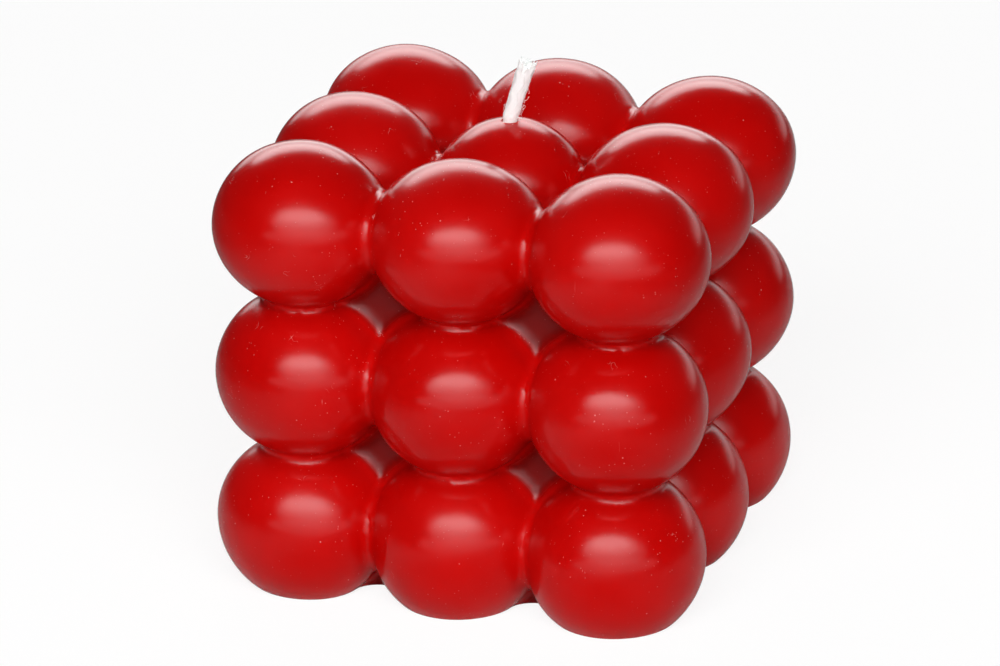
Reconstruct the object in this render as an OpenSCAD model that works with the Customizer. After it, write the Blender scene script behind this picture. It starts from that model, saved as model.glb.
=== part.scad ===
// Bubble cube candle: twenty-seven wax balls cast in one piece, three to each edge,
// on a square core whose webs close the gaps between the balls.
// A cotton wick runs up the middle and leans over where it leaves the wax.
// The balls lean a little from the base, which was trimmed flat after the casting.
// The origin is the middle of the flat base, the front is -Y and up is +Z.

/* [Balls] */
// Width of a ball
ball_width = 21.4; // [20:0.1:23]
// Height of a whole ball, which is a little flatter than it is wide
ball_height = 19.9; // [18.8:0.1:21.4]
// Width of the ball that the wick comes out of, which sank as the wax set
wick_ball_width = 18.6; // [17.6:0.1:21]
// Distance between ball centres in a layer
ball_spacing = 19.3; // [18.4:0.1:20]
// Distance between the ball centres of one layer and the next
layer_spacing = 18.5; // [17.6:0.1:19]
// Radius of the soft groove where two balls meet
neck_fillet = 1.0; // [0.6:0.1:1.6]

/* [Core and base] */
// How far the floors of the webs in the gaps lie behind the centres of the outer balls
web_depth = 0.2; // [0:0.1:2]
// Width of the flat floor of each web
web_floor = 4.4; // [3.6:0.1:5]
// Width of the sloping bowl round that floor, at its rim, which the balls hide
web_bowl = 10.2; // [9.6:0.1:10.4]
// Height of the rim above the floor
web_rise = 2.1; // [1.6:0.1:2.6]
// How much of the lowest balls is cut away to make the flat base
base_cut = 2.5; // [1:0.1:4]
// How far the balls and the wick lean from the base
lean = 1.2; // [0:0.1:2]
// Direction that they lean in, turned from +X towards +Y
lean_direction = 50; // [0:1:359]

/* [Wick] */
// Width of the wick where the wax grips it
gripped_width = 1.8; // [1.4:0.1:2]
// Width of the fluffier free wick
wick_width = 2.0; // [1.9:0.1:3]
// Length of the wick that stands out of the wax
wick_free_length = 8.0; // [4:0.5:14]
// Angle that the free wick leans over
wick_lean = 12; // [4:1:25]
// Direction that it leans in, turned from +X towards +Y
wick_direction = 18; // [0:1:359]
// Width of the frayed tip
fray_width = 2.5; // [2.1:0.1:3.5]
// Length of the frayed tip
fray_length = 1.6; // [1:0.1:3]

/* [Hidden] */
$fn = 72;

// Places of the balls along an edge, counted in spacings from the middle
places = [-1, 0, 1];
// Places of the necks between neighbouring balls along an edge
neck_places = [-0.5, 0.5];
// The lines of balls that lie on the outside, as pairs of places
outer_lines = [for (u = places, v = places) if (abs(u) + abs(v) > 0) [u, v]];

// The balls are made round, and the whole lump is then flattened by this share
flatness = ball_height / ball_width;
ball_r = ball_width / 2;
wick_ball_r = wick_ball_width / 2;
layer_rise = layer_spacing / flatness;
// Heights above the base, in the finished candle
middle_z = layer_spacing + ball_height / 2 - base_cut;
wax_top_z = middle_z + layer_spacing + wick_ball_r * flatness;
// Half width of the core at the webs' floors, and the height of its top there
core_half = ball_spacing - web_depth;
core_top = layer_rise - web_depth / flatness;
// How far a neck's arc dips into the balls beside it, so that the surfaces cross
neck_bite = 0.08;
wax_width = 2 * ball_spacing + ball_width;
// How far cutting shapes reach past what they cut
clear = 1;

// Radius of the ball at a place: the top middle one is smaller
function radius_at(i, j, k) = (i == 0 && j == 0 && k == 1) ? wick_ball_r : ball_r;

module balls() {
    for (i = places, j = places, k = places)
        translate([i * ball_spacing, j * ball_spacing, k * layer_rise])
            sphere(r = radius_at(i, j, k));
}

// Ring that fills the groove between a ball of radius ra at the origin and a ball of
// radius rb at the given distance up the Z axis. Its outside is an arc of neck_fillet.
module neck_ring(ra, rb, distance) {
    side_a = ra + neck_fillet;
    side_b = rb + neck_fillet;
    arc_z = (pow(distance, 2) + pow(side_a, 2) - pow(side_b, 2)) / (2 * distance);
    arc_x = sqrt(pow(side_a, 2) - pow(arc_z, 2));
    // Where the arc would just touch each ball
    touch_a = [arc_x, arc_z] * ra / side_a;
    touch_b = [0, distance] + [arc_x, arc_z - distance] * rb / side_b;
    rotate_extrude()
        difference() {
            polygon([[0, touch_a[1]], touch_a, touch_b, [0, touch_b[1]]]);
            translate([arc_x - neck_bite, arc_z]) circle(r = neck_fillet);
        }
}

module necks() {
    for (line = outer_lines, n = neck_places) {
        u = line[0];
        v = line[1];
        low = n - 0.5;
        high = n + 0.5;
        translate([low * ball_spacing, u * ball_spacing, v * layer_rise])
            rotate([0, 90, 0])
                neck_ring(radius_at(low, u, v), radius_at(high, u, v), ball_spacing);
        translate([u * ball_spacing, low * ball_spacing, v * layer_rise])
            rotate([-90, 0, 0])
                neck_ring(radius_at(u, low, v), radius_at(u, high, v), ball_spacing);
        translate([u * ball_spacing, v * ball_spacing, low * layer_rise])
            neck_ring(radius_at(u, v, low), radius_at(u, v, high), layer_rise);
    }
}

// Block that reaches down to the lowest balls' feet and is raised past its five open faces
module raised_block(raise_x, raise_y, raise_z) {
    core_bottom = -layer_rise - ball_r;
    half_x = core_half + raise_x;
    half_y = core_half + raise_y;
    translate([-half_x, -half_y, core_bottom])
        cube([2 * half_x, 2 * half_y, core_top + raise_z - core_bottom]);
}

// Cutting shape for one gap: a bowl with a flat floor at the origin that opens up the Z axis
module bowl() {
    slope = (web_bowl - web_floor) / web_rise;
    cylinder(d1 = web_floor, d2 = web_floor + slope * (web_rise + clear), h = web_rise + clear);
}

// Square core that closes the gaps between the balls, with a bowl in every gap
module core() {
    difference() {
        union() {
            raised_block(web_rise, 0, 0);
            raised_block(0, web_rise, 0);
            raised_block(0, 0, web_rise);
        }
        for (u = neck_places, v = neck_places) {
            for (turn = [0, 90, 180, 270])
                rotate([0, 0, turn])
                    translate([core_half, u * ball_spacing, v * layer_rise])
                        rotate([0, 90, 0]) bowl();
            translate([u * ball_spacing, v * ball_spacing, core_top]) bowl();
        }
    }
}

// Leans what is drawn upright, about the middle ball
module leaned() {
    translate([0, 0, middle_z])
        rotate(a = lean, v = [-sin(lean_direction), cos(lean_direction), 0])
            translate([0, 0, -middle_z])
                children();
}

// What lies below the flat base
module below_base() {
    translate([-wax_width, -wax_width, -ball_height])
        cube([2 * wax_width, 2 * wax_width, ball_height]);
}

module wax_body() {
    color("firebrick")
        difference() {
            leaned()
                difference() {
                    translate([0, 0, middle_z])
                        scale([1, 1, flatness])
                            union() {
                                balls();
                                necks();
                                core();
                            }
                    // Channel that the wick fills
                    translate([0, 0, -ball_height])
                        cylinder(d = gripped_width, h = ball_height + wax_top_z + clear);
                }
            below_base();
        }
}

module wick() {
    stem_length = wick_free_length - fray_length;
    color("ivory")
        difference() {
            leaned() {
                // Straight part in the wax
                translate([0, 0, -clear]) cylinder(d = gripped_width, h = wax_top_z + clear);
                // Leaning stem and its frayed tip, cut level where they leave the wax
                intersection() {
                    translate([0, 0, wax_top_z])
                        rotate([0, wick_lean, wick_direction]) {
                            translate([0, 0, -wick_width])
                                cylinder(d = wick_width, h = stem_length + wick_width);
                            translate([0, 0, stem_length])
                                cylinder(d1 = wick_width, d2 = fray_width, h = fray_length);
                        }
                    translate([-wax_width / 2, -wax_width / 2, wax_top_z])
                        cube([wax_width, wax_width, 2 * wick_free_length]);
                }
            }
            below_base();
        }
}

wax_body();
wick();
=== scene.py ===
"""Looks of the bubble cube candle: the wax lump, the cotton wick, and the studio around them.

All lengths are in metres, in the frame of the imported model: the origin is the middle of the flat
base, the front is -Y and up is +Z. The wax is worked out in a stretched space in which every ball
is round, and is flattened at the end, as the solid is.
"""
import math

import bmesh
import bpy
import numpy as np
from mathutils import Matrix, Vector


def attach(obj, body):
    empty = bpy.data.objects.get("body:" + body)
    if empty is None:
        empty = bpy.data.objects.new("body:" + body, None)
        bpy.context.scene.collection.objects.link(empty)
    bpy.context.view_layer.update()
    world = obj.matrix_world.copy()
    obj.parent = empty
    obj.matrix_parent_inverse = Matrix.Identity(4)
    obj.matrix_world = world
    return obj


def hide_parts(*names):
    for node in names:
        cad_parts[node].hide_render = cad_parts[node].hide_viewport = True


bl_info = {
    "name": "Bubble cube candle",
    "version": (1, 0, 0),
    "blender": (4, 5, 0),
    "location": "3D View > Sidebar > Candle",
    "description": "Dresses the packed candle in wax and cotton and sets a plain studio round it",
    "category": "Object",
}

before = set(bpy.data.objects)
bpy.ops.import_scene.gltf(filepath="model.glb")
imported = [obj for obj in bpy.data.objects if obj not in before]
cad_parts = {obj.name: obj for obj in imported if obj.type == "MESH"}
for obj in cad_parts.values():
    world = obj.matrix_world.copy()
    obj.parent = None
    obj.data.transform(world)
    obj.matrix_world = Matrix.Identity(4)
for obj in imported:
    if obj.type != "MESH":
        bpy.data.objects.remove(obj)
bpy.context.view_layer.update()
BODY = "root"


# Sizes that the panel shows

class WaxSettings(bpy.types.PropertyGroup):
    """Sizes and colours of the wax."""

    ball_width: bpy.props.FloatProperty(
        name="Ball width", description="Width of a ball", default=0.0214, unit="LENGTH")
    ball_height: bpy.props.FloatProperty(
        name="Ball height", description="Height of a whole ball", default=0.0199, unit="LENGTH")
    wick_ball_width: bpy.props.FloatProperty(
        name="Wick ball width", description="Width of the sunk ball that holds the wick",
        default=0.0186, unit="LENGTH")
    ball_spacing: bpy.props.FloatProperty(
        name="Ball spacing", description="Distance between ball centres in a layer",
        default=0.0193, unit="LENGTH")
    layer_spacing: bpy.props.FloatProperty(
        name="Layer spacing", description="Rise from one layer of balls to the next",
        default=0.0185, unit="LENGTH")
    base_cut: bpy.props.FloatProperty(
        name="Base cut", description="Height cut off the lowest balls for the flat base",
        default=0.0025, unit="LENGTH")
    lean: bpy.props.FloatProperty(
        name="Lean", description="How far the balls and the wick lean from the flat base",
        default=math.radians(1.2), subtype="ANGLE")
    lean_direction: bpy.props.FloatProperty(
        name="Lean direction", description="Direction of the lean, turned from +X towards +Y",
        default=math.radians(50), subtype="ANGLE")
    settling: bpy.props.FloatProperty(
        name="Settling", description="Share by which each layer's balls are flatter than those below",
        default=0.04)
    web_depth: bpy.props.FloatProperty(
        name="Web depth", description="How far the webs lie behind the outer balls' centres",
        default=0.0002, unit="LENGTH")
    neck_softness: bpy.props.FloatProperty(
        name="Neck softness", description="Reach of the blend where two balls meet",
        default=0.0013, unit="LENGTH")
    web_softness: bpy.props.FloatProperty(
        name="Web softness", description="Reach of the blend where a ball meets a web",
        default=0.0020, unit="LENGTH")
    mesh_step: bpy.props.FloatProperty(
        name="Mesh step", description="Spacing of the grid that the surface is found on",
        default=0.00064, unit="LENGTH")
    colour: bpy.props.FloatVectorProperty(
        name="Wax colour", description="Deep red of the wax", subtype="COLOR",
        default=(0.55, 0.0012, 0.0007))


class WickSettings(bpy.types.PropertyGroup):
    """Sizes and colour of the wick."""

    gripped_width: bpy.props.FloatProperty(
        name="Gripped width", description="Width of the wick where the wax grips it",
        default=0.0018, unit="LENGTH")
    free_width: bpy.props.FloatProperty(
        name="Free width", description="Width of the free wick", default=0.00194, unit="LENGTH")
    free_length: bpy.props.FloatProperty(
        name="Free length", description="Length that stands out of the wax", default=0.0077,
        unit="LENGTH")
    lean: bpy.props.FloatProperty(
        name="Lean", description="Angle that the free wick leans over",
        default=math.radians(17), subtype="ANGLE")
    direction: bpy.props.FloatProperty(
        name="Direction", description="Direction of the lean, turned from +X towards +Y",
        default=math.radians(18), subtype="ANGLE")
    colour: bpy.props.FloatVectorProperty(
        name="Cotton colour", description="White of the cotton", subtype="COLOR",
        default=(0.96, 0.985, 0.975))


class StageSettings(bpy.types.PropertyGroup):
    """Camera, floor and lights."""

    azimuth: bpy.props.FloatProperty(
        name="Azimuth", description="Camera's turn to the right of the front",
        default=math.radians(18.23), subtype="ANGLE")
    elevation: bpy.props.FloatProperty(
        name="Elevation", description="Camera's height above the level",
        default=math.radians(21.69), subtype="ANGLE")
    roll: bpy.props.FloatProperty(
        name="Roll", description="Turn of the camera about its own view",
        default=math.radians(-1.01), subtype="ANGLE")
    distance: bpy.props.FloatProperty(
        name="Distance", description="Camera's distance from the middle ball", default=0.638,
        unit="LENGTH")
    lens: bpy.props.FloatProperty(
        name="Lens", description="Focal length on a 36 mm sensor, in millimetres", default=190.7)
    floor_colour: bpy.props.FloatVectorProperty(
        name="Floor colour", description="Pale floor", subtype="COLOR", default=(0.95, 0.95, 0.95))


# The wax as a field of distances

class Lump:
    """The wax in the stretched space, with the middle ball's centre as its origin."""

    def __init__(self, wax):
        self.flatness = wax.ball_height / wax.ball_width
        self.radius = wax.ball_width / 2
        self.spacing = wax.ball_spacing
        self.layer_rise = wax.layer_spacing / self.flatness
        self.middle_z = wax.layer_spacing + wax.ball_height / 2 - wax.base_cut
        self.top_z = self.middle_z + wax.layer_spacing + wax.wick_ball_width / 2 * self.flatness
        axis = Vector((-math.sin(wax.lean_direction), math.cos(wax.lean_direction), 0))
        self.lean = np.array(Matrix.Rotation(wax.lean, 3, axis))
        self.neck_softness = wax.neck_softness
        self.web_softness = wax.web_softness
        places = np.array([(i, j, k) for i in (-1, 0, 1) for j in (-1, 0, 1) for k in (-1, 0, 1)])
        self.centres = places * np.array([self.spacing, self.spacing, self.layer_rise])
        holds_wick = (places == (0, 0, 1)).all(axis=1)
        self.radii = np.where(holds_wick, wax.wick_ball_width / 2, self.radius)
        tallness = 1 + wax.settling * (0.5 - places[:, 2])
        tallness[holds_wick] = 1
        aside = np.array([math.cos(SKEW_TURN), math.sin(SKEW_TURN), 0])
        forward = np.array([math.sin(SKEW_TURN), -math.cos(SKEW_TURN), 0])
        skew = SKEW * (np.outer(aside, forward) + np.outer(forward, aside))
        self.rounding = np.eye(3) + places[:, 0, None, None] * skew
        self.rounding[:, 2, 2] = 1 / tallness
        core_half = self.spacing - wax.web_depth
        core_top = self.layer_rise - wax.web_depth / self.flatness
        core_bottom = -self.layer_rise - 2 * self.radius
        self.core_middle = np.array([0, 0, (core_top + core_bottom) / 2])
        self.core_half = np.array([core_half, core_half, (core_top - core_bottom) / 2])

    def balls(self, points):
        """Distance to the blended balls and its slope.

        Each ball nearer than the softness s pulls by s minus its distance. The blended distance
        is s less the root of the summed squares of the pulls, or the nearest distance where
        nothing pulls.
        """
        softness = self.neck_softness
        pull = np.zeros(len(points))
        slope = np.zeros_like(points)
        nearest = np.full(len(points), np.inf)
        nearest_slope = np.zeros_like(points)
        for centre, radius, rounding in zip(self.centres, self.radii, self.rounding):
            offset = (points - centre) @ rounding
            length = np.linalg.norm(offset, axis=1)
            gap = length - radius
            outward = offset / np.maximum(length, TINY)[:, None] @ rounding
            reach = np.maximum(softness - gap, 0)
            pull += reach ** 2
            slope += reach[:, None] * outward
            closer = gap < nearest
            nearest = np.where(closer, gap, nearest)
            nearest_slope = np.where(closer[:, None], outward, nearest_slope)
        total = np.sqrt(pull)
        pulled = total > 0
        safe = np.where(pulled, total, 1)
        distance = np.where(pulled, softness - total, nearest)
        return distance, np.where(pulled[:, None], slope / safe[:, None], nearest_slope)

    def core(self, points):
        """Distance to the square core and its slope: a box, by its outermost face or corner."""
        side = np.sign(points - self.core_middle)
        over = np.abs(points - self.core_middle) - self.core_half
        outside = np.maximum(over, 0)
        length = np.linalg.norm(outside, axis=1)
        face = over == over.max(axis=1, keepdims=True)
        is_outside = length > 0
        distance = np.where(is_outside, length, over.max(axis=1))
        slope = np.where(is_outside[:, None], outside / np.where(is_outside, length, 1)[:, None], face)
        return distance, slope * side

    def ripple(self, points):
        """Hand-poured unevenness: a sum of plane waves of several lengths and its slope.

        It is sunk a little, so that its crests stay inside the solid's sizes.
        """
        rng = np.random.default_rng(RIPPLE_SEED)
        height = np.full(len(points), RIPPLE_SINK)
        slope = np.zeros_like(points)
        for wavelength, amount in RIPPLES:
            direction = rng.normal(size=3)
            direction *= 2 * math.pi / wavelength / np.linalg.norm(direction)
            phase = points @ direction + rng.uniform(0, 2 * math.pi)
            height += amount * np.cos(phase)
            slope -= amount * np.sin(phase)[:, None] * direction
        return height, slope

    def field(self, points):
        """Signed distance from the wax and its slope, with balls and core blended as balls are."""
        ball, ball_slope = self.balls(points)
        core, core_slope = self.core(points)
        reach_ball = np.maximum(self.web_softness - ball, 0)
        reach_core = np.maximum(self.web_softness - core, 0)
        total = np.hypot(reach_ball, reach_core)
        pulled = total > 0
        safe = np.where(pulled, total, 1)[:, None]
        nearer = (ball < core)[:, None]
        distance = np.where(pulled, self.web_softness - total, np.minimum(ball, core))
        slope = np.where(
            pulled[:, None],
            (reach_ball[:, None] * ball_slope + reach_core[:, None] * core_slope) / safe,
            np.where(nearer, ball_slope, core_slope))
        height, height_slope = self.ripple(points)
        return distance + height, slope + height_slope

    def webness(self, points):
        """Share of each surface point that belongs to a flat web and not to a ball.

        It grows with the distance from the balls, from WEB_START to WEB_START + WEB_FADE, which are
        shares of the web's softness.
        """
        ball, _ = self.balls(points)
        return np.clip((ball / self.web_softness - WEB_START) / WEB_FADE, 0, 1)

    def crease_shade(self, points):
        """Share of painted shade where a point is tucked under a ball other than its own.

        It is the square of 1 less the distance from that ball over CREASE_SHADE_REACH, times how far
        below the ball's middle the point lies, in radii.
        """
        tucked = np.zeros(len(points))
        for centre, radius, rounding in zip(self.centres, self.radii, self.rounding):
            offset = (points - centre) @ rounding
            gap = np.linalg.norm(offset, axis=1) - radius
            below = np.clip(-offset[:, 2] / radius, 0, 1)
            share = np.clip(1 - gap / CREASE_SHADE_REACH, 0, 1) ** 2 * below
            other = gap > OWN_SURFACE
            tucked = np.maximum(tucked, np.where(other, share, 0))
        return tucked

    def leaned(self, points):
        """Points of the upright candle, leaned about the middle ball."""
        middle = np.array([0, 0, self.middle_z])
        return (points - middle) @ self.lean.T + middle

    def finished(self, points):
        """Points of the stretched space, moved onto the finished candle."""
        return self.leaned(points * [1, 1, self.flatness] + [0, 0, self.middle_z])

    def stretched(self, points):
        """Points of the finished candle, moved into the stretched space."""
        return ((points - [0, 0, self.middle_z]) @ self.lean) / [1, 1, self.flatness]


# Least length that is divided by
TINY = 1e-12
# Where the look of a web starts beside a ball, and over how much it fades in
WEB_START = 0.05
WEB_FADE = 0.4
# Reach of the painted shade under a ball, and how near a point is that belongs to the ball itself
CREASE_SHADE_REACH = 0.0045
OWN_SURFACE = 0.0003
# Skew of the balls of the left and right sides, which brings their fronts towards the middle, and
# the direction of those fronts, turned from -Y towards +X
SKEW = 0.022
SKEW_TURN = math.radians(18)
# The unevenness: the seed of its directions, how far it is sunk, and its wavelengths and heights
RIPPLE_SEED = 3492
RIPPLE_SINK = 0.00011
RIPPLES = [(0.034, 0.00007), (0.027, 0.00006), (0.021, 0.00005), (0.018, 0.00004),
           (0.015, 0.00003), (0.012, 0.000022), (0.010, 0.000016), (0.008, 0.000012),
           (0.0065, 0.000008)]


def surface_net(field, low, high, step):
    """Closed quads where a field changes sign, on a grid of three parameters.

    Every grid cell whose corners differ in sign gets one point, the mean of the crossings on its
    edges. Every grid edge that changes sign gets one quad, through the points of its four cells.
    """
    axes = [np.arange(a, b + step, step) for a, b in zip(low, high)]
    grid = np.stack(np.meshgrid(*axes, indexing="ij"), axis=-1)
    shape = grid.shape[:3]
    value = field(grid.reshape(-1, 3)).reshape(shape)
    cells = tuple(n - 1 for n in shape)
    crossings = np.zeros(cells + (3,))
    counts = np.zeros(cells)
    changes = []
    for axis in range(3):
        first = np.take(value, range(shape[axis] - 1), axis)
        last = np.take(value, range(1, shape[axis]), axis)
        change = (first < 0) != (last < 0)
        share = np.where(change, first / np.where(change, first - last, 1), 0)
        changes.append((change, first < 0))
        others = [a for a in range(3) if a != axis]
        for shift_a in (0, 1):
            for shift_b in (0, 1):
                window = [slice(None)] * 3
                window[others[0]] = slice(shift_a, shift_a + cells[others[0]])
                window[others[1]] = slice(shift_b, shift_b + cells[others[1]])
                here = change[tuple(window)]
                counts += here
                crossings[..., axis] += share[tuple(window)] * here
                crossings[..., others[0]] += shift_a * here
                crossings[..., others[1]] += shift_b * here
    active = counts > 0
    number = np.full(cells, -1)
    number[active] = np.arange(active.sum())
    corner = np.stack(np.nonzero(active), axis=-1)
    points = np.array(low) + step * (corner + crossings[active] / counts[active][:, None])
    quads = []
    for axis, (change, inside_first) in enumerate(changes):
        a, b = [x for x in range(3) if x != axis]
        if axis == 1:
            a, b = b, a
        window = [slice(None)] * 3
        window[a] = slice(1, shape[a] - 1)
        window[b] = slice(1, shape[b] - 1)
        at = np.stack(np.nonzero(change[tuple(window)]), axis=-1)
        at[:, a] += 1
        at[:, b] += 1
        forward = inside_first[tuple(at.T)]
        ring = []
        for back_a, back_b in ((1, 1), (0, 1), (0, 0), (1, 0)):
            cell = at.copy()
            cell[:, a] -= back_a
            cell[:, b] -= back_b
            ring.append(number[tuple(cell.T)])
        ring = np.stack(ring, axis=-1)
        quads.append(np.where(forward[:, None], ring, ring[:, ::-1]))
    return points, np.concatenate(quads)


# Rounds of evening out, and steps onto the surface at the end
EVENING_ROUNDS = 4
LAST_STEPS = 3


def settle(points, quads, field, rounds):
    """Evens out a net and lays it on the field's zero, by turns.

    Each point moves onto the surface, along the slope by the distance over the slope's square, and
    then half way to the mean of its neighbours. The last turn only lays it on the surface, in
    LAST_STEPS steps.
    """
    edges = np.concatenate([quads[:, [0, 1]], quads[:, [1, 2]], quads[:, [2, 3]], quads[:, [3, 0]]])
    count = np.bincount(edges.ravel(), minlength=len(points))[:, None]
    for turn in range(rounds + 1):
        for _ in range(LAST_STEPS if turn == rounds else 1):
            distance, slope = field(points)
            points = points - slope * (distance / (slope ** 2).sum(axis=1))[:, None]
        if turn < rounds:
            total = np.stack([
                np.bincount(edges[:, 0], points[edges[:, 1], c], len(points))
                + np.bincount(edges[:, 1], points[edges[:, 0], c], len(points))
                for c in range(3)], axis=-1)
            points = (points + total / count) / 2
    return points


# Mesh helpers

def mesh_from_arrays(name, points, faces):
    """A mesh from an array of points and an array of triangles or quads."""
    sides = faces.shape[1]
    mesh = bpy.data.meshes.new(name)
    mesh.vertices.add(len(points))
    mesh.vertices.foreach_set("co", np.asarray(points, np.float32).ravel())
    mesh.loops.add(faces.size)
    mesh.loops.foreach_set("vertex_index", np.asarray(faces, np.int32).ravel())
    mesh.polygons.add(len(faces))
    mesh.polygons.foreach_set("loop_start", np.arange(len(faces), dtype=np.int32) * sides)
    mesh.update(calc_edges=True)
    mesh.validate()
    return mesh


def add_object(name, mesh, material):
    """A finished piece at the origin, riding on the candle's only body."""
    piece = bpy.data.objects.new(name, mesh)
    bpy.context.scene.collection.objects.link(piece)
    mesh.materials.clear()
    mesh.materials.append(material)
    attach(piece, BODY)
    return piece


def shade(mesh, angle):
    """Smooth shading, with edges sharper than the angle left crisp."""
    mesh.polygons.foreach_set("use_smooth", np.ones(len(mesh.polygons), bool))
    mesh.set_sharp_from_angle(angle=angle)


# A path whose mean direction rises more than this share is steep
STEEP = 0.8


def tubes(paths, radii, sides):
    """Round tubes along many paths at once, with closed ends.

    A tube's point is path(t) + radius(t) (cos a n(t) + sin a b(t)), where n and b are square to
    the path. They are found from one fixed direction: level for steep paths, else upright.
    """
    count, stations, _ = paths.shape
    along = np.gradient(paths, axis=1)
    along /= np.maximum(np.linalg.norm(along, axis=2, keepdims=True), TINY)
    mean = along.mean(axis=1, keepdims=True)
    level = np.where(np.abs(mean[..., 2:]) > STEEP, [1.0, 0.0, 0.0], [0.0, 0.0, 1.0])
    normal = np.cross(along, np.broadcast_to(level, along.shape))
    normal /= np.linalg.norm(normal, axis=2, keepdims=True)
    binormal = np.cross(along, normal)
    angle = np.arange(sides) * 2 * math.pi / sides
    circle = (np.cos(angle)[:, None] * normal[:, :, None]
              + np.sin(angle)[:, None] * binormal[:, :, None])
    rings = paths[:, :, None] + radii[:, :, None, None] * circle
    points = np.concatenate([rings.reshape(-1, 3), paths[:, 0], paths[:, -1]])
    tube = np.arange(count)[:, None, None] * stations * sides
    ring = np.arange(stations - 1)[None, :, None] * sides
    side = np.arange(sides)[None, None, :]
    after = (side + 1) % sides
    wall = np.stack([tube + ring + side, tube + ring + after,
                     tube + ring + sides + after, tube + ring + sides + side], axis=-1).reshape(-1, 4)
    first = count * stations * sides + np.arange(count)[:, None, None]
    last = first + count
    end = tube + (stations - 1) * sides
    start_cap = np.stack(np.broadcast_arrays(first, tube + after, tube + side), axis=-1).reshape(-1, 3)
    end_cap = np.stack(np.broadcast_arrays(last, end + side, end + after), axis=-1).reshape(-1, 3)
    return points, wall, np.concatenate([start_cap, end_cap])


def tube_mesh(name, parts):
    """One mesh from several results of tubes."""
    mesh = bpy.data.meshes.new(name)
    builder = bmesh.new()
    for points, walls, caps in parts:
        piece = bpy.data.meshes.new(name)
        piece.from_pydata(points.tolist(), [], walls.tolist() + caps.tolist())
        builder.from_mesh(piece)
        bpy.data.meshes.remove(piece)
    bmesh.ops.recalc_face_normals(builder, faces=builder.faces)
    builder.to_mesh(mesh)
    builder.free()
    return mesh


# Finishes

class Value:
    """One output socket, with the sums that the finishes need."""

    def __init__(self, finish, socket):
        self.finish = finish
        self.socket = socket

    def _sum(self, operation, *terms):
        return self.finish.add("ShaderNodeMath", {"operation": operation}, dict(enumerate(terms)))

    def __add__(self, other):
        return self._sum("ADD", self, other)

    __radd__ = __add__

    def __sub__(self, other):
        return self._sum("SUBTRACT", self, other)

    def __rsub__(self, other):
        return self._sum("SUBTRACT", other, self)

    def __mul__(self, other):
        return self._sum("MULTIPLY", self, other)

    __rmul__ = __mul__

    def __gt__(self, other):
        return self._sum("GREATER_THAN", self, other)

    def ramp(self, low, high, to_low=0.0, to_high=1.0):
        """Smooth step from to_low at low to to_high at high."""
        return self.finish.add(
            "ShaderNodeMapRange", {"interpolation_type": "SMOOTHSTEP"},
            {"Value": self, "From Min": low, "From Max": high, "To Min": to_low, "To Max": to_high})


class Finish:
    """A node material, or the world's nodes, as it is put together."""

    def __init__(self, owner):
        owner.use_nodes = True
        self.owner = owner
        self.tree = owner.node_tree
        self.tree.nodes.clear()

    @classmethod
    def material(cls, name):
        """A finish on a new material."""
        return cls(bpy.data.materials.new(name))

    @staticmethod
    def find(sockets, key):
        """The socket with a number, an identifier or a name."""
        if isinstance(key, int):
            return sockets[key]
        for socket in sockets:
            if socket.identifier == key:
                return socket
        return sockets[key]

    def add(self, kind, settings=None, inputs=None, output=0):
        """Any node: its type, its settings, then the values or links of its sockets."""
        node = self.tree.nodes.new(kind)
        for key, value in (settings or {}).items():
            setattr(node, key, value)
        for key, value in (inputs or {}).items():
            socket = self.find(node.inputs, key)
            if isinstance(value, Value):
                self.tree.links.new(value.socket, socket)
            elif socket.type == "RGBA" and len(value) == 3:
                socket.default_value = (*value, 1)
            else:
                socket.default_value = value
        return Value(self, self.find(node.outputs, output)) if len(node.outputs) else node

    def mix(self, share, first, second):
        """Colour between two colours."""
        return self.add("ShaderNodeMix", {"data_type": "RGBA"},
                        {"Factor_Float": share, "A_Color": first, "B_Color": second}, "Result_Color")

    def place(self):
        """Object coordinates."""
        return self.add("ShaderNodeTexCoord", output="Object")

    def noise(self, place, size, detail=2.0, roughness=0.5, output="Fac"):
        """Noise whose features are about size across, from 0 to 1."""
        return self.add("ShaderNodeTexNoise", {}, {
            "Vector": place, "Scale": 1 / size, "Detail": detail, "Roughness": roughness}, output)

    def shift(self, place, amount, size):
        """Coordinates pushed about by noise, by up to the amount."""
        push = self.noise(place, size, output="Color")
        kind = "ShaderNodeVectorMath"
        centred = self.add(kind, {"operation": "SUBTRACT"}, {0: push, 1: (0.5,) * 3})
        scaled = self.add(kind, {"operation": "SCALE"}, {0: centred, "Scale": amount})
        return self.add(kind, {"operation": "ADD"}, {0: place, 1: scaled})

    def bump(self, height, depth, strength=1.0):
        """Surface tilt from a height of 0 to 1 that stands for a depth in metres."""
        inputs = {"Height": height, "Distance": depth, "Strength": strength}
        return self.add("ShaderNodeBump", {}, inputs, "Normal")

    def surface(self, shader):
        """Ends the finish with its shader."""
        is_world = self.tree.id_data.id_type == "WORLD"
        kind = "ShaderNodeOutputWorld" if is_world else "ShaderNodeOutputMaterial"
        self.add(kind, {}, {"Surface": shader})


# Shares of a speck's and a thread's width that are full, before they fade to their edge
SPECK_CORE = 0.5
THREAD_CORE = 0.4


def specks(finish, place, spacing, size, share):
    """Mask of round specks: the middles of a share of Voronoi cells, each speck size across."""
    settings = {"feature": "F1"}
    inputs = {"Vector": place, "Scale": 1 / spacing}
    distance = finish.add("ShaderNodeTexVoronoi", settings, inputs, "Distance")
    colour = finish.add("ShaderNodeTexVoronoi", settings, inputs, "Color")
    chance = finish.add("ShaderNodeSeparateColor", {}, {0: colour}, "Red")
    edge = size / 2 / spacing
    return distance.ramp(edge * SPECK_CORE, edge, 1, 0) * (chance > 1 - share)


def scratches(finish, place, turn, length, width, spacing, share):
    """Mask of short straight scratches: specks drawn out along one direction."""
    slim = finish.add("ShaderNodeMapping", {}, {
        "Vector": place, "Rotation": turn, "Scale": (1, 1, width / length)})
    return specks(finish, slim, spacing, width, share)


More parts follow.
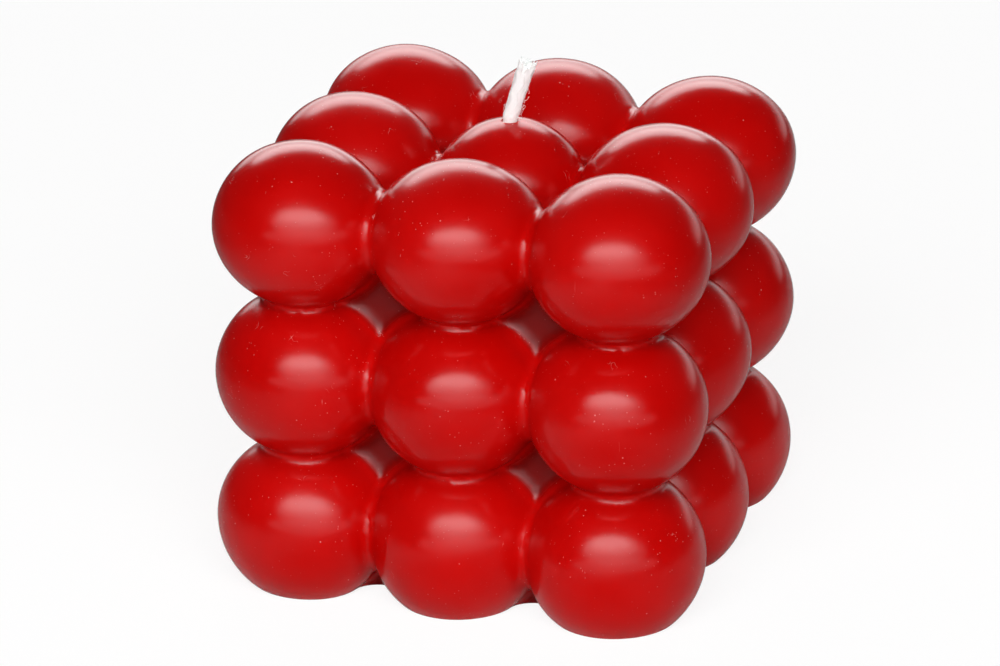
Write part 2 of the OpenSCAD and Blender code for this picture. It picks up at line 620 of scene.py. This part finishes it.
def threads(finish, place, size, thickness):
    """Mask of thin winding lines: where a noise of this size passes its middle value."""
    level = finish.noise(place, size, 1.0)
    apart = finish.add("ShaderNodeMath", {"operation": "ABSOLUTE"}, {0: level - 0.5})
    return apart.ramp(thickness * THREAD_CORE, thickness, 1, 0)


def wax_finish(wax):
    """Satin red wax: faint clouding, dust specks, hairline scratches, painted shade under the balls,
    and darker, duller webs.
    """
    finish = Finish.material("wax")
    place = finish.place()
    cloud = finish.noise(place, size=0.012, detail=2.0)
    grain = finish.noise(place, size=0.0007, detail=3.0)
    patches = finish.noise(place, size=0.006, detail=1.0)
    # Dust and curls of lint: the dust gathers in patches
    dusty = patches.ramp(0.44, 0.62, to_low=0.25)
    dust = specks(finish, place, spacing=0.0011, size=0.00023, share=0.24) * dusty
    fine_dust = specks(finish, place, spacing=0.0006, size=0.00017, share=0.42) * dusty
    winding = threads(finish, place, size=0.0011, thickness=0.010)
    curls = winding * specks(finish, place, spacing=0.0042, size=0.0017, share=0.45)
    # Scratches in two directions, bent a little, where the patches are worn
    bent = finish.shift(place, amount=0.0008, size=0.006)
    long_scratch = scratches(finish, bent, turn=(0.4, 0.9, 0.2), length=0.0034, width=0.00009,
                             spacing=0.0005, share=0.30)
    short_scratch = scratches(finish, bent, turn=(1.3, -0.5, 1.1), length=0.0026, width=0.00008,
                              spacing=0.0005, share=0.25)
    worn = (long_scratch + short_scratch) * patches.ramp(0.46, 0.60)
    web = finish.add("ShaderNodeAttribute", {"attribute_name": "webness"}, output="Fac")
    crease_shade = finish.add("ShaderNodeAttribute", {"attribute_name": "crease_shade"}, output="Fac")
    deep = tuple(wax.colour)
    light = tuple(c * 1.08 + 0.001 for c in deep)
    # Half as bright as the wax: the colour of the painted shade under the balls
    dark = tuple(c * 0.5 for c in deep)
    # Browner red of the webs: partly duller wax, partly painted shade of the recesses
    web_brown_and_shade = (deep[0] * 0.25, deep[1], deep[2])
    pale = (0.80, 0.30, 0.28)
    colour = finish.mix(cloud.ramp(0.35, 0.65), deep, light)
    # Painted shade: darker where a point is tucked under another ball
    colour = finish.mix(crease_shade * 0.75, colour, dark)
    # Painted shade and duller wax: the webs deep between the balls turn browner and darker
    colour = finish.mix(web * 0.85, colour, web_brown_and_shade)
    marks = dust * 0.65 + fine_dust * 0.4 + curls * 0.6 + worn * 0.4
    colour = finish.mix(marks, colour, pale)
    roughness = cloud.ramp(0.3, 0.7, 0.18, 0.23) + web * 0.12 + worn * 0.1
    height = grain * (0.10 + web * 0.5) + dust * 0.8 + fine_dust * 0.5 + curls * 0.5 - worn * 0.6
    normal = finish.bump(height, depth=0.00004)
    finish.surface(finish.add("ShaderNodeBsdfPrincipled", {}, {
        "Base Color": colour, "Roughness": roughness, "Normal": normal, "IOR": 1.39,
        "Subsurface Weight": 0.12, "Subsurface Radius": (1.0, 0.12, 0.08),
        "Subsurface Scale": 0.0012}))
    return finish.owner


# Heights below and above the wax between which the wax's stain on the wick fades out
STAIN_BELOW = 0.0001
STAIN_ABOVE = 0.0007


def cotton_finish(wick, foot_z):
    """Soft white cotton: fine fibre bump, slight greying, and a pink stain of wax at the foot.

    A little light of its own stands for what passes through the thin cotton.
    """
    finish = Finish.material("cotton")
    place = finish.place()
    fibre = finish.noise(place, size=0.00022, detail=4.0, roughness=0.7)
    clump = finish.noise(place, size=0.0012, detail=2.0)
    height = finish.add("ShaderNodeSeparateXYZ", {}, {0: place}, "Z")
    white = tuple(wick.colour)
    grey = tuple(c * 0.98 for c in white)
    stain = (0.90, 0.70, 0.68)
    colour = finish.mix(clump.ramp(0.3, 0.7), grey, white)
    soaked = height.ramp(foot_z - STAIN_BELOW, foot_z + STAIN_ABOVE, 0.5, 0)
    colour = finish.mix(soaked * fibre.ramp(0.25, 0.6), colour, stain)
    normal = finish.bump(fibre, depth=0.00002)
    finish.surface(finish.add("ShaderNodeBsdfPrincipled", {}, {
        "Base Color": colour, "Roughness": 0.9, "Normal": normal, "Specular IOR Level": 0.2,
        "Sheen Weight": 0.5, "Sheen Roughness": 0.5,
        "Emission Color": colour, "Emission Strength": 0.11}))
    return finish.owner


# Pieces

# Margin of the grid round the wax, and depth that it reaches below the base
GRID_MARGIN = 0.0012
BELOW_BASE = 0.0016
# The channel for the wick widens by this much all round at its mouth, from this depth to a quarter
# of it above the wax
MOUTH_WIDENING = 0.00022
MOUTH_DEPTH = 0.0006
# How far above the wax the cutting tool ends, and how much wider than the channel it is there
CUTTER_REACH = 0.002
CUTTER_WIDENING = 0.0004
CHANNEL_SIDES = 40
# Edges sharper than these stay crisp
WAX_CRISP_ANGLE = math.radians(40)
COTTON_CRISP_ANGLE = math.radians(60)


def cut_base(mesh):
    """Cuts a piece along the level of the base and closes it with one flat face."""
    builder = bmesh.new()
    builder.from_mesh(mesh)
    everything = builder.verts[:] + builder.edges[:] + builder.faces[:]
    bmesh.ops.bisect_plane(builder, geom=everything, dist=1e-7, plane_co=(0, 0, 0),
                           plane_no=(0, 0, 1), clear_inner=True)
    rim = [edge for edge in builder.edges if edge.is_boundary]
    bmesh.ops.contextual_create(builder, geom=rim)
    bmesh.ops.recalc_face_normals(builder, faces=builder.faces)
    builder.to_mesh(mesh)
    builder.free()


def channel_cutter(lump, width):
    """Cutting tool for the wick's channel: a round profile turned about Z, wider at its mouth."""
    half = width / 2
    stations = [(-BELOW_BASE, half),
                (lump.top_z - MOUTH_DEPTH, half),
                (lump.top_z + MOUTH_DEPTH / 4, half + MOUTH_WIDENING),
                (lump.top_z + CUTTER_REACH, half + CUTTER_WIDENING)]
    heights = np.array([z for z, _ in stations])
    radii = np.array([[r for _, r in stations]])
    path = np.stack([np.zeros_like(heights), np.zeros_like(heights), heights], axis=-1)[None]
    points, *faces = tubes(path, radii, CHANNEL_SIDES)
    mesh = tube_mesh("channel_cutter", [(lump.leaned(points), *faces)])
    return bpy.data.objects.new("channel_cutter", mesh)


class CANDLE_OT_wax_body(bpy.types.Operator):
    """Makes the wax lump with its soft necks, webs, flat base and wick channel."""

    bl_idname = "candle.wax_body"
    bl_label = "Wax body"

    def execute(self, context):
        wax = context.scene.candle_wax
        lump = Lump(wax)
        reach = lump.spacing + lump.radius + GRID_MARGIN
        low = (-reach, -reach, -(lump.middle_z + BELOW_BASE) / lump.flatness)
        high = (reach, reach, lump.layer_rise + lump.radius + GRID_MARGIN)
        points, quads = surface_net(lambda at: lump.field(at)[0], low, high, wax.mesh_step)
        points = settle(points, quads, lump.field, EVENING_ROUNDS)
        mesh = mesh_from_arrays("wax", lump.finished(points), quads)
        cut_base(mesh)
        body = add_object("wax", mesh, wax_finish(wax))
        cutter = channel_cutter(lump, context.scene.candle_wick.gripped_width)
        context.scene.collection.objects.link(cutter)
        cut = body.modifiers.new("channel", "BOOLEAN")
        cut.operation = "DIFFERENCE"
        cut.solver = "EXACT"
        cut.object = cutter
        context.view_layer.objects.active = body
        bpy.ops.object.modifier_apply(modifier=cut.name)
        bpy.data.objects.remove(cutter)
        mesh = body.data
        at = np.empty(len(mesh.vertices) * 3, np.float32)
        mesh.vertices.foreach_get("co", at)
        at = lump.stretched(at.reshape(-1, 3).astype(float))
        for name, share in (("webness", lump.webness(at)), ("crease_shade", lump.crease_shade(at))):
            attribute = mesh.attributes.new(name, "FLOAT", "POINT")
            attribute.data.foreach_set("value", share.astype(np.float32))
        shade(mesh, WAX_CRISP_ANGLE)
        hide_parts("wax_body")
        return {"FINISHED"}


# The seed of the wick's random draws
WICK_SEED = 5
# Points along and round each kind of tube: the filling in the wax and above it, the strands of the
# braid, the threads of the fray and the loose fibres
GRIPPED_STATIONS = 24
FREE_STATIONS = 30
FILLING_SIDES = 28
STRAND_STATIONS = 90
STRAND_SIDES = 10
THREAD_STATIONS = 9
THREAD_SIDES = 6
FIBRE_STATIONS = 10
FIBRE_SIDES = 5
# The braid: strands each way round, their radius, the length of one turn, how far they pass over
# and under each other, and how far each set is turned, as a share of the step between its strands
STRANDS_EACH_WAY = 7
STRAND_RADIUS = 0.00025
BRAID_TURN = 0.018
BRAID_WEAVE = 0.00004
STRAND_OFFSET = 0.25
# How far below the wax's top the strands start and how far before the tip they end, and the length
# and depth of the squeeze where the wax lets go of them
STRANDS_BELOW = 0.0008
STRANDS_SHORT = 0.0007
GRIP_LENGTH = 0.0006
GRIP_DEPTH = 0.00003
# Mean share of its radius that a strand has, how much that swells, its waves in each turn, and the
# scatter of the strands' angles
STRAND_FULLNESS = 0.96
STRAND_SWELL = 0.06
STRAND_WAVES = 9
STRAND_SCATTER = 0.02
# How far below the wax's top the filling starts to widen, and how far before the tip it ends
FILLING_STEP = 0.0005
FILLING_SHORT = 0.0009
# Length over which the wick bends as it leaves the wax, a quarter of it below the wax's top
BEND_LENGTH = 0.0012
# How far the middle line goes on past the tip, and how many points it is worked out at
LINE_SPARE = 0.002
LINE_STATIONS = 2001
# Widths of the free wick where it leaves the wax and at its tip, as shares of its own width
NARROW_FOOT = 0.90
WIDE_TIP = 1.12
# How far the strands stand out of the filling
BRAID_RELIEF = 0.00004
# The fray: how many threads, how far below the tip they start, the shares of the wick's section
# that they fill, the mean and scatter of their ends about the tip, and their radii
FRAY_THREADS = 190
FRAY_STARTS = (0.0011, 0.0020)
FRAY_FILL = (0.02, 0.90)
FRAY_ENDS = (-0.00012, 0.00013)
FRAY_RADII = (0.00005, 0.00010)
# How wide the threads stand where they leave the wick and how much wider at their ends, along the
# lean and across it, and how much of its radius a thread loses
FRAY_ROOT = 0.90
FRAY_WIDENING = 0.10
FRAY_SPREAD = 0.16
FRAY_TAPER = 0.4
# Where the fray parts in two tufts, how far each bends away, the scatter of that, and how much the
# tip falls off to the sides of the gap
TUFT_GAP = -0.00025
SMALL_TUFT_BEND = -0.00014
LARGE_TUFT_BEND = 0.00010
BEND_SCATTER = 0.00007
TIP_FALL = 0.1
# How deep in the wick a loose fibre starts
FIBRE_ROOT = 0.00006
# How far a fibre curls along the wick, and the mean and scatter of how far it stands off, as shares
# of its reach, and the share of a half wave that it stands off by
FIBRE_CURL = 0.35
FIBRE_STAND = 0.6
STAND_SCATTER = 0.5
STAND_WAVE = 0.7
# How far a fibre swings round the wick, the least share of the given radius that it has, and how
# much of its own radius it loses towards its end
FIBRE_SWING = 0.4
LEAST_RADIUS = 0.6
FIBRE_TAPER = 0.4
# Loose fibres: how many, the shares of the free length they grow between, the angle they face,
# their spread to each side of it, how far they reach and their radius
LOOSE_FIBRES = (
    (120, (0.02, 0.95), 0.0, math.pi, 0.00008, 0.000016),
    (26, (0.03, 0.30), 0.0, 1.0, 0.00045, 0.000026),
    (5, (0.32, 0.60), 0.0, 0.8, 0.00050, 0.000026),
    (7, (0.15, 0.65), math.pi, 0.9, 0.00030, 0.000024),
)


class WickLine:
    """The middle line of the wick, as a function of the length along it from the base.

    Its angle from upright grows by a smooth step over BEND_LENGTH, and the line is the running sum
    of that angle's sine sideways and of its cosine upwards.
    """

    def __init__(self, wick, lump):
        self.foot = lump.top_z
        self.length = lump.top_z + wick.free_length
        self.lean = wick.lean
        self.free_half = wick.free_width / 2
        self.free_length = wick.free_length
        self.stations = np.linspace(-BELOW_BASE, self.length + LINE_SPARE, LINE_STATIONS)
        share = np.clip((self.stations - self.foot + BEND_LENGTH / 4) / BEND_LENGTH, 0, 1)
        angle = self.lean * share ** 2 * (3 - 2 * share)
        step = np.gradient(self.stations)
        self.side = np.cumsum(np.sin(angle) * step)
        self.rise = np.cumsum(np.cos(angle) * step)
        self.rise -= np.interp(0, self.stations, self.rise)
        self.angle = angle
        self.towards = np.array([math.cos(wick.direction), math.sin(wick.direction), 0])
        self.across = np.array([-math.sin(wick.direction), math.cos(wick.direction), 0])

    def half(self, length):
        """Half width of the free wick, which grows from the wax to the tip."""
        share = np.clip((length - self.foot) / self.free_length, 0, 1)
        return self.free_half * (NARROW_FOOT + (WIDE_TIP - NARROW_FOOT) * share)

    def at(self, length, angle, radius):
        """Points at a length along the line, an angle round it and a radius from it."""
        side = np.interp(length, self.stations, self.side)
        rise = np.interp(length, self.stations, self.rise)
        tilt = np.interp(length, self.stations, self.angle)
        out = radius * np.cos(angle)
        return ((side + out * np.cos(tilt))[..., None] * self.towards
                + (radius * np.sin(angle))[..., None] * self.across
                + (rise - out * np.sin(tilt))[..., None] * np.array([0.0, 0.0, 1.0]))


def braid(line, rng):
    """Strands of the free wick: helices both ways that pass over and under each other.

    A strand's radius is R + A cos(n turn) one way round and R - A cos(n turn) the other way,
    which brings one strand over and the other under at every crossing.
    """
    start = line.foot - STRANDS_BELOW
    end = line.length - STRANDS_SHORT
    length = np.linspace(start, end, STRAND_STATIONS)
    middle = line.half(length) - STRAND_RADIUS
    grip = np.clip((length - line.foot) / GRIP_LENGTH, 0, 1)
    turn = 2 * math.pi * (length - start) / BRAID_TURN
    paths = []
    radii = []
    for way in (1, -1):
        for strand in range(STRANDS_EACH_WAY):
            angle = way * turn + 2 * math.pi * (strand + STRAND_OFFSET * way) / STRANDS_EACH_WAY
            weave = way * BRAID_WEAVE * np.cos(STRANDS_EACH_WAY * turn)
            radius = middle - (1 - grip) * GRIP_DEPTH + weave * grip
            paths.append(line.at(length, angle + rng.normal(0, STRAND_SCATTER), radius))
            swell = STRAND_SWELL * np.sin(STRAND_WAVES * turn + strand)
            radii.append(STRAND_RADIUS * (STRAND_FULLNESS + swell))
    return tubes(np.array(paths), np.array(radii), STRAND_SIDES)


def filling(line, wick):
    """The gripped wick in its channel and the inside of the braid: one bar along the middle line."""
    gripped = np.linspace(-BELOW_BASE / 2, line.foot - FILLING_STEP, GRIPPED_STATIONS)
    free = np.linspace(line.foot, line.length - FILLING_SHORT, FREE_STATIONS)
    length = np.concatenate([gripped, free])
    path = line.at(length, np.zeros_like(length), np.zeros_like(length))
    free_radius = line.half(length) - BRAID_RELIEF
    radius = np.where(length < line.foot, wick.gripped_width / 2, free_radius)
    return tubes(path[None], radius[None], FILLING_SIDES)


def fray(line, rng):
    """Threads of the cut end, in a small tuft on one side and a larger one on the other.

    Each thread leaves the wick at its own height, and the tufts bend away from each other by the
    square of the share of the thread's length.
    """
    each = (FRAY_THREADS, 1)
    share = np.linspace(0, 1, THREAD_STATIONS)[None, :]
    start = line.length - rng.uniform(*FRAY_STARTS, each)
    angle = rng.uniform(0, 2 * math.pi, each)
    inner = line.half(line.length) * np.sqrt(rng.uniform(*FRAY_FILL, each))
    side = inner * np.cos(angle)
    small = side < TUFT_GAP
    end = line.length + rng.normal(*FRAY_ENDS, each) - np.abs(side - TUFT_GAP / 2) * TIP_FALL
    length = start + (end - start) * share
    bend = np.where(small, SMALL_TUFT_BEND, LARGE_TUFT_BEND) + rng.normal(0, BEND_SCATTER, each)
    side = side * (FRAY_ROOT + FRAY_WIDENING * share) + bend * share ** 2
    across = inner * np.sin(angle) * (FRAY_ROOT + FRAY_SPREAD * share)
    radii = rng.uniform(*FRAY_RADII, each) * (1 - FRAY_TAPER * share ** 3)
    paths = line.at(length, np.arctan2(across, side), np.hypot(across, side))
    return tubes(paths, np.broadcast_to(radii, length.shape), THREAD_SIDES)


def fuzz(line, rng, count, heights, facing, spread, reach, fibre_radius):
    """Loose fibres that stand off the wick and curl back.

    They leave it between two shares of its free length, at angles spread about the one they face.
    Each stands off by a sine of the share of its length, and swings by another along the wick.
    """
    each = (count, 1)
    share = np.linspace(0, 1, FIBRE_STATIONS)[None, :]
    start = line.foot + line.free_length * rng.uniform(*heights, each)
    rise = rng.normal(0.0, reach, each) * share
    curl = rng.normal(0, reach * FIBRE_CURL, each) * np.sin(share * 2 * math.pi)
    angle = facing + rng.uniform(-spread, spread, each) + rng.normal(0, FIBRE_SWING, each) * share
    height = np.abs(rng.normal(reach * FIBRE_STAND, reach * STAND_SCATTER, each))
    stand = height * np.sin(share * math.pi * STAND_WAVE)
    radius = line.half(start) - FIBRE_ROOT + stand
    radii = rng.uniform(LEAST_RADIUS, 1, each) * fibre_radius * (1 - FIBRE_TAPER * share)
    paths = line.at(start + rise + curl, angle, radius)
    return tubes(paths, np.broadcast_to(radii, radius.shape), FIBRE_SIDES)


class CANDLE_OT_wick(bpy.types.Operator):
    """Makes the braided cotton wick, its frayed tip and its loose fibres."""

    bl_idname = "candle.wick"
    bl_label = "Wick"

    def execute(self, context):
        wick = context.scene.candle_wick
        lump = Lump(context.scene.candle_wax)
        line = WickLine(wick, lump)
        rng = np.random.default_rng(WICK_SEED)
        parts = [filling(line, wick), braid(line, rng), fray(line, rng)]
        parts += [fuzz(line, rng, *tuft) for tuft in LOOSE_FIBRES]
        mesh = tube_mesh("cotton", [(lump.leaned(points), *faces) for points, *faces in parts])
        cut_base(mesh)
        piece = add_object("cotton", mesh, cotton_finish(wick, line.foot))
        shade(mesh, COTTON_CRISP_ANGLE)
        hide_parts("wick")
        return {"FINISHED"}


# Studio

def aim(eye, target):
    """Matrix of a lamp or camera at eye that looks at the target with Z upright."""
    turn = (target - eye).to_track_quat("-Z", "Y")
    return Matrix.LocRotScale(eye, turn, None)


def from_angles(azimuth, elevation):
    """Unit direction from the candle, turned to the right of the front and raised."""
    return Vector((math.sin(azimuth) * math.cos(elevation), -math.cos(azimuth) * math.cos(elevation),
                   math.sin(elevation)))


def softbox(name, target, shape, azimuth, elevation, distance, width, height, radiance):
    """A flat lamp that faces the target. Its power is radiance times pi times its area."""
    lamp = bpy.data.lights.new(name, "AREA")
    lamp.shape = shape
    lamp.size = width
    lamp.size_y = height
    area = width * height * (math.pi / 4 if shape == "ELLIPSE" else 1)
    lamp.energy = radiance * math.pi * area
    box = bpy.data.objects.new(name, lamp)
    bpy.context.scene.collection.objects.link(box)
    towards = from_angles(math.radians(azimuth), math.radians(elevation))
    box.matrix_world = aim(target + distance * towards, target)
    return box


# Softboxes: shape, then azimuth and elevation in degrees, distance, width, height and radiance.
# Each broad one has brighter, smaller ones before it, so that its light fades towards its edges.
SOFTBOXES = {
    "front_low": ("ELLIPSE", 20, 9, 1.32, 3.60, 0.46, 1.0),
    "front_box": ("ELLIPSE", 19, 29, 1.30, 2.16, 0.92, 1.05),
    "front_middle": ("ELLIPSE", 14, 34.5, 1.28, 1.76, 0.68, 1.7),
    "front_core": ("ELLIPSE", 13, 38, 1.26, 1.40, 0.48, 2.1),
    "front_peak": ("ELLIPSE", 13, 40.5, 1.25, 1.10, 0.34, 2.2),
    "back_box": ("RECTANGLE", 202, 21, 1.30, 1.20, 0.80, 1.7),
    "back_core": ("ELLIPSE", 202, 31, 1.28, 1.36, 0.54, 3.1),
}
# The rest of the studio: dark overhead and round about, with a pale backdrop low behind. It fades
# in between the first pair of shares towards +Y, and out between the second pair upwards
STUDIO_LIGHT = 0.03
BACKDROP_LIGHT = 1.2
BACKDROP_SIDES = (0.70, 0.85)
BACKDROP_TOP = (0.10, 0.25)


def studio_world():
    """White to the camera. What lights the candle is a dark studio with a pale backdrop."""
    world = bpy.data.worlds.new("studio")
    bpy.context.scene.world = world
    finish = Finish(world)
    direction = finish.add("ShaderNodeTexCoord", output="Generated")
    behind = finish.add("ShaderNodeSeparateXYZ", {}, {0: direction}, "Y")
    height = finish.add("ShaderNodeSeparateXYZ", {}, {0: direction}, "Z")
    seen = finish.add("ShaderNodeLightPath", output="Is Camera Ray")
    backdrop = behind.ramp(*BACKDROP_SIDES) * height.ramp(*BACKDROP_TOP, 1, 0)
    strength = backdrop * (BACKDROP_LIGHT - STUDIO_LIGHT) + STUDIO_LIGHT
    ambient = finish.add("ShaderNodeBackground", {}, {"Color": (1, 1, 1), "Strength": strength})
    white = finish.add("ShaderNodeBackground", {}, {"Color": (1, 1, 1), "Strength": 1.0})
    finish.surface(finish.add("ShaderNodeMixShader", {}, {0: seen, 1: ambient, 2: white}))


# The floor as the candle sees it, a painted pool of light: its greys under the candle and far to the
# sides, the distance over which it darkens, and how much darker the wax mirrors it than it is
POOL_LIT_GREY = (0.95, 0.95, 0.95)
POOL_SHADE_GREY = (0.14, 0.14, 0.14)
POOL_REACH = 0.18
MIRROR_DIMMING = 0.4
# Share of plain white in the floor that the camera sees
FLOOR_WHITE = 0.86
# Half width of the floor, and how far the camera sees
FLOOR_REACH = 3.0
SIGHT = 10


def floor_finish(colour):
    """Matt floor, nearly white to the camera, where it keeps the candle's soft shadow.

    The candle sees it grey, as a painted pool of light: pale beneath it, and darker out to the left
    and right.
    """
    finish = Finish.material("floor")
    camera = finish.add("ShaderNodeLightPath", output="Is Camera Ray")
    glossy = finish.add("ShaderNodeLightPath", output="Is Glossy Ray")
    through = finish.add("ShaderNodeLightPath", output="Is Transmission Ray")
    sideways = finish.add("ShaderNodeSeparateXYZ", {}, {0: finish.place()}, "X")
    out = finish.add("ShaderNodeMath", {"operation": "ABSOLUTE"}, {0: sideways})
    # Painted pool of light: pale under the candle, shaded off to the left and right
    grey = finish.mix(out.ramp(0, POOL_REACH), POOL_LIT_GREY, POOL_SHADE_GREY)
    grey = finish.mix(glossy * MIRROR_DIMMING, grey, (0.0, 0.0, 0.0))
    shown = finish.mix(camera, grey, colour)
    matt = finish.add("ShaderNodeBsdfDiffuse", {}, {"Color": shown, "Roughness": 1.0})
    white = finish.add("ShaderNodeEmission", {}, {"Color": (1, 1, 1), "Strength": 1.0})
    share = (camera + through) * FLOOR_WHITE
    finish.surface(finish.add("ShaderNodeMixShader", {}, {0: share, 1: matt, 2: white}))
    return finish.owner


# Shift of the camera in its own axes, which frames the candle as the photograph does
FRAMING = (-0.00114, 0.00005, 0)


class CANDLE_OT_stage(bpy.types.Operator):
    """Makes the floor, the soft studio light and the camera at the photograph's angle."""

    bl_idname = "candle.stage"
    bl_label = "Stage"

    def execute(self, context):
        scene = context.scene
        stage = scene.candle_stage
        lump = Lump(scene.candle_wax)
        target = Vector((0, 0, lump.middle_z))
        corners = FLOOR_REACH * np.array([(-1, -1, 0), (1, -1, 0), (1, 1, 0), (-1, 1, 0)])
        mesh = mesh_from_arrays("floor", corners, np.array([[0, 1, 2, 3]]))
        mesh.materials.append(floor_finish(tuple(stage.floor_colour)))
        floor = bpy.data.objects.new("floor", mesh)
        scene.collection.objects.link(floor)
        for name, place in SOFTBOXES.items():
            softbox(name, target, *place)
        studio_world()
        lens = bpy.data.cameras.new("camera")
        lens.lens = stage.lens
        lens.clip_end = SIGHT
        camera = bpy.data.objects.new("camera", lens)
        scene.collection.objects.link(camera)
        looking = aim(target + stage.distance * from_angles(stage.azimuth, stage.elevation), target)
        roll = Matrix.Rotation(stage.roll, 4, "Z")
        camera.matrix_world = looking @ roll @ Matrix.Translation(FRAMING)
        scene.camera = camera
        scene.view_settings.view_transform = "Standard"
        return {"FINISHED"}


class CANDLE_PT_sidebar(bpy.types.Panel):
    """Lists the candle's pieces and their sizes."""

    bl_label = "Bubble cube candle"
    bl_space_type = "VIEW_3D"
    bl_region_type = "UI"
    bl_category = "Candle"

    def draw(self, context):
        for operator, group in STEPS:
            box = self.layout.box()
            box.operator(operator.bl_idname)
            settings = getattr(context.scene, group)
            for name in settings.__annotations__:
                box.prop(settings, name)


STEPS = ((CANDLE_OT_stage, "candle_stage"),
         (CANDLE_OT_wax_body, "candle_wax"),
         (CANDLE_OT_wick, "candle_wick"))
GROUPS = {"candle_wax": WaxSettings, "candle_wick": WickSettings, "candle_stage": StageSettings}
CLASSES = (*GROUPS.values(), *(operator for operator, _ in STEPS), CANDLE_PT_sidebar)


def register():
    for one in CLASSES:
        bpy.utils.register_class(one)
    for name, group in GROUPS.items():
        setattr(bpy.types.Scene, name, bpy.props.PointerProperty(type=group))


def unregister():
    for name in GROUPS:
        delattr(bpy.types.Scene, name)
    for one in reversed(CLASSES):
        bpy.utils.unregister_class(one)


def main():
    register()
    bpy.ops.candle.stage()
    bpy.ops.candle.wax_body()
    bpy.ops.candle.wick()


if __name__ == "__main__":
    main()
